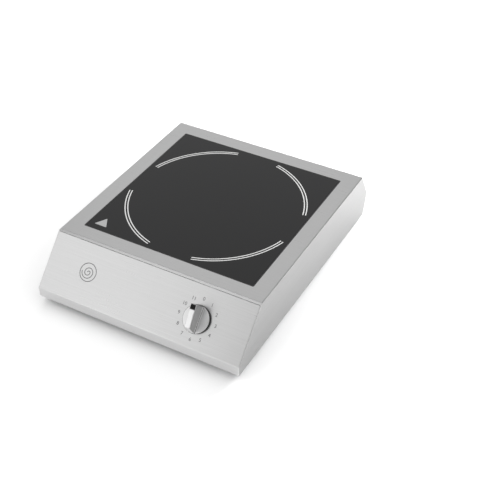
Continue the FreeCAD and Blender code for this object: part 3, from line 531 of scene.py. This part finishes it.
def studio_floor(name, colour):
    material, tree, surface = new_material(name)
    coords = tree.nodes.new("ShaderNodeTexCoord")
    soft = add(tree, "TexNoise", Vector=coords.outputs["Object"], Scale=3.0, Detail=2.0).outputs["Fac"]
    shade(tree, surface, times(colour, 0.995), colour, soft)
    surface.inputs["Roughness"].default_value = 0.7
    surface.inputs["Specular IOR Level"].default_value = 0.1
    return material


# Mesh helpers

def finish_mesh(name, bm, material, smooth=False):
    """A mesh object from a bmesh, in the row frame, with its normals outwards."""
    bmesh.ops.recalc_face_normals(bm, faces=bm.faces)
    mesh = bpy.data.meshes.new(name)
    bm.to_mesh(mesh)
    bm.free()
    for polygon in mesh.polygons:
        polygon.use_smooth = smooth
    piece = bpy.data.objects.new(name, mesh)
    bpy.context.scene.collection.objects.link(piece)
    piece.data.materials.append(material)
    return piece


def arc_strip(bm, inner, outer, start, sweep, steps, centre=(0.0, 0.0)):
    """A flat curved band: one radial edge spun round the centre."""
    turn = Matrix.Rotation(start, 4, "Z")
    middle = Vector((*centre, 0.0))
    ends = [bm.verts.new(middle + turn @ Vector((radius, 0.0, 0.0))) for radius in (inner, outer)]
    edge = bm.edges.new(ends)
    bmesh.ops.spin(
        bm, geom=ends + [edge], cent=middle, axis=(0, 0, 1), angle=sweep, steps=steps,
        use_merge=abs(sweep) > FULL_TURN - 0.001)


def raise_film(bm, height):
    """Gives flat faces a thickness upwards."""
    raised = bmesh.ops.extrude_face_region(bm, geom=bm.faces[:])
    tops = [item for item in raised["geom"] if isinstance(item, bmesh.types.BMVert)]
    bmesh.ops.translate(bm, verts=tops, vec=(0.0, 0.0, height))


def move_all(bm, matrix):
    bmesh.ops.transform(bm, matrix=matrix, verts=bm.verts)


def chip(bm, place, size, bevel):
    """A small block with softened edges, its underside at the place given."""
    made = bmesh.ops.create_cube(bm, size=1.0)["verts"]
    bmesh.ops.scale(bm, verts=made, vec=size)
    bmesh.ops.translate(bm, verts=made, vec=Vector(place) + Vector((0, 0, size[2] / 2)))
    edges = list({edge for vert in made for edge in vert.link_edges})
    bmesh.ops.bevel(
        bm, geom=edges, offset=bevel, offset_type="OFFSET", affect="EDGES", segments=1,
        profile=0.5, material=-1, clamp_overlap=True)


def dress(material, *names):
    """Puts one material on whole nodes."""
    for name in names:
        mesh = NODES[name].data
        mesh.materials.clear()
        mesh.materials.append(material)


def sizes():
    return bpy.context.scene.hob_sizes


def colours():
    return bpy.context.scene.hob_colours


# Operators

class HOB_OT_housing(bpy.types.Operator):
    """Finish the housing: brushed steel, zinc tray and frame, fasteners and rubber feet"""
    bl_idname = "hob.housing"
    bl_label = "Finish Housing"

    def execute(self, context):
        steel = brushed_metal("brushed stainless", colours().steel, 0.30, 7.0, 950.0)
        dress(steel, "housing_shell", "front_panel")
        dress(zinc_sheet("zinc coated sheet", (0.55, 0.57, 0.59)), "base_plate", "glass_support_frame")
        dress(turned_metal("zinc fastener", (0.66, 0.66, 0.64), 0.24),
              "housing_screws", "foot_bolts", "small_screws", "switch_nut")
        dress(plastic("foot rubber", (0.022, 0.022, 0.023), 0.72, 1500.0, 0.35),
              "front_left_foot", "front_right_foot", "rear_left_foot", "rear_right_foot")
        return {"FINISHED"}


class HOB_OT_glass(bpy.types.Operator):
    """Polish the black plate and print the cooking zone and the corner sign on it"""
    bl_idname = "hob.glass"
    bl_label = "Finish Glass"

    arc_steps = 40
    sign_ring = 0.0026        # width of the sign's outer ring, and of the gap inside it
    sign_gap = 0.0014
    sign_round = 0.0012
    sign_in = 0.0194          # the sign's middle, from the plate's left and front edges
    sign_up = 0.0153

    def execute(self, context):
        size = sizes()
        dress(glass_ceramic("black glass-ceramic", colours().glass), "glass_ceramic_plate")
        dress(plastic("black sealant", (0.010, 0.010, 0.010), 0.38, 900.0, 0.15), "glass_seal")
        print_ink = ink("light glass print", colours().glass_print, 0.45)
        bm = bmesh.new()
        for quarter in range(4):
            start = math.radians(45 + 90 * quarter) - size.arc_sweep / 2
            for radius in (size.ring_radius, size.ring_radius - size.ring_gap):
                half = size.ring_line / 2
                arc_strip(bm, radius - half, radius + half, start, size.arc_sweep, self.arc_steps)
        raise_film(bm, size.ink)
        move_all(bm, Matrix.Translation(ZONE))
        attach(finish_mesh("cooking_zone_print", bm, print_ink), "housing")
        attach(self.corner_sign(size, ink("grey glass print", colours().sign_print, 0.45)), "housing")
        return {"FINISHED"}

    def corner_sign(self, size, material):
        """A plain rounded triangle ring with a smaller solid one inside, near the front left corner."""
        bm = bmesh.new()
        reach = size.sign_side / math.sqrt(3)
        face = bm.faces.new([
            bm.verts.new(Matrix.Rotation(math.radians(90 + 120 * k), 4, "Z") @ Vector((reach, 0, 0)))
            for k in range(3)
        ])
        bmesh.ops.bevel(
            bm, geom=face.verts[:], offset=self.sign_round, offset_type="OFFSET",
            affect="VERTICES", segments=3, profile=0.5, material=-1)
        bmesh.ops.inset_region(bm, faces=bm.faces[:], thickness=self.sign_ring, use_even_offset=True)
        core = min(bm.faces, key=lambda face: face.calc_center_median().length)
        gap = bmesh.ops.inset_region(bm, faces=[core], thickness=self.sign_gap, use_even_offset=True)["faces"]
        bmesh.ops.delete(bm, geom=gap, context="FACES")
        raise_film(bm, size.ink)
        place = Vector((GLASS_LOW.x + self.sign_in, GLASS_LOW.y + self.sign_up, ZONE.z))
        move_all(bm, Matrix.Translation(place))
        return finish_mesh("corner_sign_print", bm, material)


class HOB_OT_dial(bpy.types.Operator):
    """Print the dial numbers and a round coil emblem on the sloped front"""
    bl_idname = "hob.dial"
    bl_label = "Print Front Panel"

    numbers_round = 12
    half_line = 0.0005        # of the emblem's lines
    emblem_in = 0.0708        # the emblem's middle, from the panel's left edge
    emblem_up = 0.0061        # and above the dial's middle, up the slope

    def execute(self, context):
        size = sizes()
        material = ink("grey panel print", colours().panel_print, 0.5)
        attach(self.numbers(size, material), "housing")
        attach(self.emblem(size, material), "housing")
        return {"FINISHED"}

    def numbers(self, size, material):
        bm = bmesh.new()
        for number in range(self.numbers_round):
            text = bpy.data.curves.new("dial number", "FONT")
            text.body = str(number)
            text.size = size.number_height * 1.4
            text.align_x = "CENTER"
            text.align_y = "CENTER"
            text.resolution_u = 4
            holder = bpy.data.objects.new("dial number", text)
            flat = bpy.data.meshes.new_from_object(holder)
            angle = math.radians(90) - FULL_TURN * number / self.numbers_round
            place = Vector((math.cos(angle), math.sin(angle), 0.0)) * size.number_radius
            flat.transform(Matrix.Translation(place))
            bm.from_mesh(flat)
            bpy.data.objects.remove(holder)
            bpy.data.curves.remove(text)
            bpy.data.meshes.remove(flat)
        raise_film(bm, size.ink)
        move_all(bm, slope_matrix(DIAL_PLACE))
        return finish_mesh("dial_numbers", bm, material)

    def emblem(self, size, material):
        """A ring round four growing half turns, as a coil is drawn."""
        bm = bmesh.new()
        line = self.half_line
        arc_strip(bm, size.emblem_radius - line, size.emblem_radius + line, 0.0, FULL_TURN, 72)
        step = size.emblem_radius / 6
        for half_turn in range(4):
            radius = step * (half_turn + 1)
            offset = -step / 2 if half_turn % 2 else step / 2
            start = math.pi if half_turn % 2 else 0.0
            arc_strip(bm, radius - line, radius + line, start, math.pi, 24, (offset, 0.0))
        bmesh.ops.remove_doubles(bm, verts=bm.verts, dist=0.00001)
        raise_film(bm, size.ink)
        across = FRONT_LEFT + self.emblem_in - DIAL_PLACE.x
        place = DIAL_PLACE + DIAL_RIGHT * across + DIAL_UP * self.emblem_up
        move_all(bm, slope_matrix(place))
        return finish_mesh("panel_emblem", bm, material)


class HOB_OT_knob(bpy.types.Operator):
    """Coat the knob, its pointer and the parts that turn with it"""
    bl_idname = "hob.knob"
    bl_label = "Finish Knob"

    def execute(self, context):
        dress(satin_coating("satin silver cap", colours().knob, colours().pointer), "power_knob")
        pointer = plastic("black pointer", colours().pointer, 0.45, 3000.0, 0.1)
        pointer.node_tree.nodes["Principled BSDF"].inputs["Specular IOR Level"].default_value = 0.12
        dress(pointer, "knob_pointer")
        dress(turned_metal("spring steel", (0.50, 0.50, 0.52), 0.20), "knob_clip")
        dress(turned_metal("turned brass", (0.70, 0.52, 0.24), 0.26),
              "switch_shaft", "switch_bush", "coil_posts", "board_standoffs", "coil_terminals",
              "terminal_screws", "earth_stud")
        return {"FINISHED"}


class HOB_OT_coil(bpy.types.Operator):
    """Wind the induction coil from one spiral of twisted strands, and finish the ferrite, mica, aluminium and
    enamelled copper parts
    """
    bl_idname = "hob.coil"
    bl_label = "Wind Coil"

    def execute(self, context):
        strand = enamelled_strand("twisted copper strand", (0.72, 0.33, 0.15))
        winding = finish_mesh("litz_spiral", self.spiral(), strand, smooth=True)
        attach(winding, "housing")
        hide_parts("coil_winding")
        dress(ferrite("sintered ferrite", (0.045, 0.045, 0.048)), "ferrite_bars", "choke_cores")
        dress(mica("pressed mica", (0.66, 0.60, 0.48)), "insulation_sheet")
        aluminium = brushed_metal("mill aluminium", (0.78, 0.79, 0.80), 0.36, 5.0, 500.0)
        dress(aluminium, "coil_shield_plate", "heat_sink")
        dress(enamelled_wire("enamelled copper", (0.70, 0.30, 0.13)), "choke_windings", "fan_stator")
        return {"FINISHED"}

    def spiral(self):
        """A round section spun in half turns, each wider than the last, about two centres in turn."""
        low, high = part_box("coil_winding")
        middle = (low + high) / 2
        bundle = (high.z - low.z) / 2
        half_turns = 2 * sizes().coil_turns - 2
        reach = (high.x - low.x) / 2 - bundle * (half_turns + 0.5)
        centre = middle - Vector((bundle / 2, 0.0, 0.0))
        bm = bmesh.new()
        bm.loops.layers.uv.new("strand")
        ring = bmesh.ops.create_circle(bm, segments=8, radius=bundle)["verts"]
        bmesh.ops.scale(bm, verts=ring, vec=(0.97, 1.0, 1.0))
        bmesh.ops.rotate(bm, verts=ring, cent=(0, 0, 0), matrix=Matrix.Rotation(math.pi / 2, 3, "X"))
        bmesh.ops.translate(bm, verts=ring, vec=centre + Vector((reach, 0.0, 0.0)))
        profile = ring + bm.edges[:]
        length = 0.0
        for half_turn in range(half_turns):
            made = len(bm.faces)
            spun = bmesh.ops.spin(
                bm, geom=profile, cent=centre, axis=(0, 0, 1), angle=math.pi, steps=36, use_merge=False)
            profile = spun["geom_last"]
            bm.faces.ensure_lookup_table()
            self.wrap(bm, bm.faces[made:], centre, reach, length)
            length += math.pi * reach
            reach += bundle
            centre.x += bundle if half_turn % 2 == 0 else -bundle
        bmesh.ops.holes_fill(bm, edges=[edge for edge in bm.edges if edge.is_boundary], sides=0)
        return bm

    def wrap(self, bm, faces, centre, reach, length):
        """Strand coordinates: once round the bundle across, and by twists along."""
        strand = bm.loops.layers.uv["strand"]
        for face in faces:
            near = None
            for corner in face.loops:
                arm = corner.vert.co - centre
                along = math.atan2(arm.y, arm.x) % FULL_TURN
                around = math.atan2(arm.z, math.hypot(arm.x, arm.y) - reach)
                near = near or (along, around)
                along += FULL_TURN * round((near[0] - along) / FULL_TURN)
                around += FULL_TURN * round((near[1] - around) / FULL_TURN)
                turned = along % FULL_TURN if along > 0 else along
                twists = (length + reach * turned) / sizes().strand_twist
                corner[strand].uv = (around / FULL_TURN, twists)


class HOB_OT_electronics(bpy.types.Operator):
    """Finish the boards and their parts, and add the small parts that stand on them"""
    bl_idname = "hob.electronics"
    bl_label = "Finish Electronics"

    # for each board: most parts in its row, their pitch, and the row's distance from the back edge
    rows = {
        "power_board": (26, 0.0085, 0.0072),
        "control_board": (14, 0.0060, 0.0060),
        "filter_board": (8, 0.0080, 0.0030),
    }
    long_part = (0.0048, 0.0040, 0.0016)
    short_part = (0.0030, 0.0016, 0.0008)
    row_start = 0.016         # from the board's left edge, and the end left clear at its right
    row_end = 0.014

    def execute(self, context):
        dress(circuit_board("green circuit board"), "power_board", "filter_board", "control_board")
        epoxy = plastic("moulded epoxy", (0.020, 0.020, 0.021), 0.42, 1800.0, 0.2)
        dress(epoxy, "power_transistors", "bridge_rectifier", "auxiliary_transformer", "control_chip",
              "buzzer")
        dress(plastic("grey capacitor case", (0.34, 0.36, 0.40), 0.30, 900.0, 0.08),
              "link_capacitor", "resonance_capacitors")
        dress(plastic("yellow capacitor case", (0.62, 0.42, 0.06), 0.32, 900.0, 0.08), "filter_capacitors")
        dress(plastic("white moulding", (0.72, 0.71, 0.67), 0.45, 1600.0, 0.15, 0.05),
              "terminal_block", "board_connectors", "temperature_sensor")
        dress(plastic("wire cover", (0.36, 0.035, 0.025), 0.48, 900.0, 0.15), "coil_leads", "mains_wires")
        dress(plastic("grey cable cover", (0.16, 0.16, 0.17), 0.50, 900.0, 0.15), "signal_cables")
        dress(fuse_tube("glass fuse"), "fuse")
        for board, (count, pitch, inset) in self.rows.items():
            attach(self.small_parts(board, count, pitch, inset, epoxy), "housing")
        return {"FINISHED"}

    def small_parts(self, board, count, pitch, inset, material):
        """A row of surface mounted parts along the board's back edge, some long and some short."""
        low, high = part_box(board)
        bm = bmesh.new()
        for index in range(count):
            x = low.x + self.row_start + pitch * index
            if x > high.x - self.row_end:
                break
            size = self.long_part if index % 4 == 1 else self.short_part
            chip(bm, (x, high.y - inset, high.z), size, 0.00015)
        return finish_mesh(board + "_small_parts", bm, material)


class HOB_OT_cooling(bpy.types.Operator):
    """Finish the fan, its rotor and the air duct"""
    bl_idname = "hob.cooling"
    bl_label = "Finish Cooling"

    def execute(self, context):
        black = plastic("black moulding", (0.020, 0.020, 0.021), 0.50, 2200.0, 0.25)
        dress(black, "fan_frame", "fan_rotor", "air_duct", "coil_carrier", "switch_body", "fuse_holder")
        return {"FINISHED"}


class HOB_OT_inlet(bpy.types.Operator):
    """Finish the cable gland"""
    bl_idname = "hob.inlet"
    bl_label = "Finish Cable Gland"

    def execute(self, context):
        dress(plastic("black nylon gland", (0.028, 0.028, 0.030), 0.40, 2600.0, 0.2),
              "gland_body", "gland_cap", "gland_locknut")
        dress(plastic("gland rubber", (0.012, 0.012, 0.012), 0.6, 1500.0, 0.2), "gland_seal")
        return {"FINISHED"}


class HOB_OT_stage(bpy.types.Operator):
    """Set the pale floor, the soft lights and the camera"""
    bl_idname = "hob.stage"
    bl_label = "Set Stage"

    floor_reach = 8.0
    camera_azimuth = math.radians(28.86)
    camera_elevation = math.radians(39.40)
    camera_distance = 1.4928
    camera_lens = 69.67
    camera_aim = Vector((0.0637, 0.0017, 0.0317))
    # name, place, side and watts; each one faces the piece
    softboxes = (
        ("front softbox", (-1.15, -1.36, 1.32), 1.5, 5.7),
        ("back softbox", (-0.80, 1.45, 1.30), 1.5, 2.6),
        ("top softbox", (-0.72, 0.03, 1.85), 0.9, 2.2),
        ("low front softbox", (-0.80, -1.95, 0.35), 0.9, 3.8),
        ("right strip", (1.80, -0.45, 0.47), 0.5, 1.6),
    )
    sky_strength = 1.95
    sky_spread = math.radians(110)
    sky_from = Vector((-0.05, -0.05, 1.0))
    floor_light_place = Vector((0.60, 1.00, 0.60))
    floor_light_aim = Vector((0.22, 0.38, 0.0))
    floor_light_side = 0.4
    floor_light_watts = 17.0
    surround = 0.42           # world strength round the piece, and behind it as the camera sees it
    backdrop = 0.95

    def execute(self, context):
        scene = context.scene
        scene.view_settings.view_transform = "Standard"
        scene.view_settings.look = "None"
        self.floor()
        self.world(scene)
        for softbox in self.softboxes:
            self.softbox(*softbox)
        self.sky_light()
        self.floor_light()
        self.camera(scene)
        return {"FINISHED"}

    def floor(self):
        bm = bmesh.new()
        bmesh.ops.create_grid(bm, x_segments=1, y_segments=1, size=self.floor_reach)
        floor = finish_mesh("studio_floor", bm, studio_floor("studio floor", colours().floor))

    def world(self, scene):
        """Soft grey round the piece, and a pale backdrop where the camera looks past it."""
        world = bpy.data.worlds.new("soft studio")
        scene.world = world
        world.use_nodes = True
        tree = world.node_tree
        around = tree.nodes["Background"]
        around.inputs["Strength"].default_value = self.surround
        around.inputs["Color"].default_value = (1.0, 1.0, 1.0, 1.0)
        behind = tree.nodes.new("ShaderNodeBackground")
        behind.inputs["Strength"].default_value = self.backdrop
        behind.inputs["Color"].default_value = (1.0, 1.0, 1.0, 1.0)
        seen = tree.nodes.new("ShaderNodeLightPath").outputs["Is Camera Ray"]
        mix = tree.nodes.new("ShaderNodeMixShader")
        tree.links.new(seen, mix.inputs[0])
        tree.links.new(around.outputs[0], mix.inputs[1])
        tree.links.new(behind.outputs[0], mix.inputs[2])
        tree.links.new(mix.outputs[0], tree.nodes["World Output"].inputs["Surface"])

    def softbox(self, name, place, size, watts):
        light = bpy.data.lights.new(name, "AREA")
        light.size = size
        light.energy = watts
        self.hang(name, light, Vector(place), Vector(place))

    def sky_light(self):
        """A broad even light that keeps the floor pale and stays out of the steel's reflections."""
        light = bpy.data.lights.new("broad overhead light", "SUN")
        light.energy = self.sky_strength
        light.angle = self.sky_spread
        holder = self.hang("broad overhead light", light, Vector((0.0, 0.0, 2.0)), self.sky_from)
        holder.visible_glossy = False

    def floor_light(self):
        """Brightens the floor behind the right side, which the side wall mirrors."""
        light = bpy.data.lights.new("floor light", "AREA")
        light.size = self.floor_light_side
        light.energy = self.floor_light_watts
        place = self.floor_light_place
        holder = self.hang("floor light", light, place, place - self.floor_light_aim)
        holder.visible_glossy = False

    def hang(self, name, light, place, back):
        holder = bpy.data.objects.new(name, light)
        bpy.context.scene.collection.objects.link(holder)
        holder.location = place
        holder.rotation_euler = back.to_track_quat("Z", "Y").to_euler()
        return holder

    def camera(self, scene):
        back = Vector((
            math.sin(self.camera_azimuth) * math.cos(self.camera_elevation),
            -math.cos(self.camera_azimuth) * math.cos(self.camera_elevation),
            math.sin(self.camera_elevation),
        ))
        lens = bpy.data.cameras.new("camera")
        lens.lens = self.camera_lens
        lens.sensor_width = 36.0
        holder = bpy.data.objects.new("camera", lens)
        scene.collection.objects.link(holder)
        holder.location = self.camera_aim + back * self.camera_distance
        holder.rotation_euler = back.to_track_quat("Z", "Y").to_euler()
        scene.camera = holder


STEPS = (
    HOB_OT_housing, HOB_OT_glass, HOB_OT_dial, HOB_OT_knob, HOB_OT_coil, HOB_OT_electronics,
    HOB_OT_cooling, HOB_OT_inlet, HOB_OT_stage,
)


class HOB_PT_panel(bpy.types.Panel):
    """Lists the hob's steps, sizes and colours"""
    bl_idname = "HOB_PT_panel"
    bl_label = "Induction Hob"
    bl_space_type = "VIEW_3D"
    bl_region_type = "UI"
    bl_category = "Hob"

    def draw(self, context):
        for step in STEPS:
            self.layout.operator(step.bl_idname)
        for group in (context.scene.hob_sizes, context.scene.hob_colours):
            for name in group.bl_rna.properties.keys():
                if name not in ("rna_type", "name"):
                    self.layout.prop(group, name)


CLASSES = (HobSizes, HobColours, *STEPS, HOB_PT_panel)


def register():
    for item in CLASSES:
        bpy.utils.register_class(item)
    bpy.types.Scene.hob_sizes = PointerProperty(type=HobSizes)
    bpy.types.Scene.hob_colours = PointerProperty(type=HobColours)


def unregister():
    del bpy.types.Scene.hob_colours
    del bpy.types.Scene.hob_sizes
    for item in reversed(CLASSES):
        bpy.utils.unregister_class(item)


def main():
    register()
    GROUPS["Brushed Lines"] = brushed_lines_group()
    GROUPS["Smudges"] = smudge_group()
    GROUPS["Edge Wear And Painted Highlight"] = edge_wear_group()
    GROUPS["Moulded Grain"] = moulded_grain_group()
    for step in STEPS:
        area, name = step.bl_idname.split(".")
        getattr(getattr(bpy.ops, area), name)()


if __name__ == "__main__":
    main()
